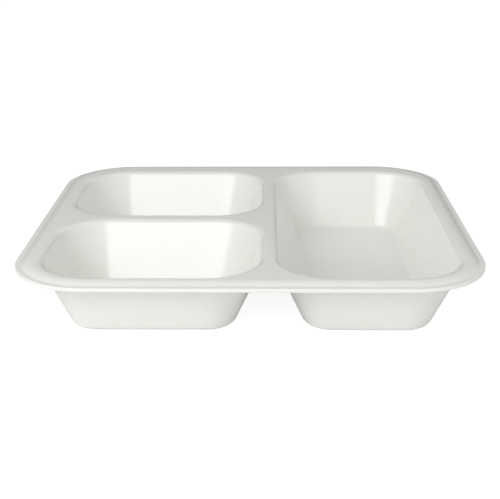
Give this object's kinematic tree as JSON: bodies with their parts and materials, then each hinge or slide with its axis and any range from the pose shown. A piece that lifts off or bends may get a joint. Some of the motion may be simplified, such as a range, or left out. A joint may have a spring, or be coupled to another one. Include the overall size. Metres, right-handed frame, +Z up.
{
  "type": "foam food tray",
  "caption": "Shallow moulded foam meal tray with separate tapered wells, a flat deck between them and a narrow rolled lip all round",
  "frame": {"origin": "under the middle of the outline, at the height of the wells' flat undersides on which the tray stands", "axes": "+X to the right, across the longest side; +Y to the back, away from the smaller of the two left wells; +Z up, out of the wells"},
  "size_m": [0.24, 0.219, 0.0358],
  "materials": {
    "foam": "satin white foam skin"
  },
  "bodies": {
    "root": {"tray": "foam"}
  },
  "joints": []
}
